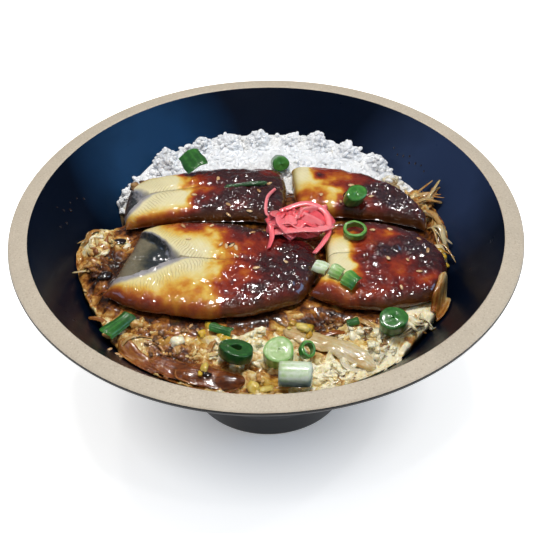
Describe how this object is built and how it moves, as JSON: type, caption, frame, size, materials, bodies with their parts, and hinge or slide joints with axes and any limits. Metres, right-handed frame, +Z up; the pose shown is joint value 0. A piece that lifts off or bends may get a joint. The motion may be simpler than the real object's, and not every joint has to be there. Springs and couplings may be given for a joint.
{
  "type": "bowl of grilled eel on rice",
  "caption": "Wide-lipped dark bowl of rice under soft egg and onion, topped with glazed grilled eel fillets, cut spring onion and pickled ginger.",
  "frame": {"origin": "centre of the foot ring's flat bottom, on the table", "axes": "+Z up, -Y towards the eater, +X to the eater's right"},
  "size_m": [0.21, 0.21, 0.0928],
  "materials": {
    "melamine": "satin navy black inside and out, speckled beige lip",
    "cooked_rice": "moist white grains",
    "soft_egg": "soft curds in brown broth",
    "pickled_ginger": "moist coral pink shreds",
    "glazed_eel": "glossy dark red brown glaze over cream flesh",
    "spring_onion": "fresh cut green",
    "stewed_onion": "translucent, stewed"
  },
  "bodies": {
    "root": {"bowl": "melamine", "rice": "cooked_rice", "egg_and_onion": "soft_egg", "pickled_ginger": "pickled_ginger", "eel_front_left": "glazed_eel", "eel_front_right": "glazed_eel", "eel_back_left": "glazed_eel", "eel_back_right": "glazed_eel", "spring_onion_ring_1": "spring_onion", "spring_onion_ring_2": "spring_onion", "spring_onion_ring_3": "spring_onion", "spring_onion_ring_4": "spring_onion", "spring_onion_ring_5": "spring_onion", "spring_onion_ring_6": "spring_onion", "spring_onion_ring_7": "spring_onion", "spring_onion_stalk": "spring_onion", "spring_onion_leaf_1": "spring_onion", "spring_onion_leaf_2": "spring_onion", "spring_onion_leaf_3": "spring_onion", "spring_onion_leaf_4": "spring_onion", "spring_onion_leaf_5": "spring_onion", "spring_onion_slice_1": "spring_onion", "spring_onion_slice_2": "spring_onion", "spring_onion_slice_3": "spring_onion", "onion_slice_1": "stewed_onion", "onion_slice_2": "stewed_onion", "onion_slice_3": "stewed_onion", "onion_slice_4": "stewed_onion"}
  },
  "joints": []
}
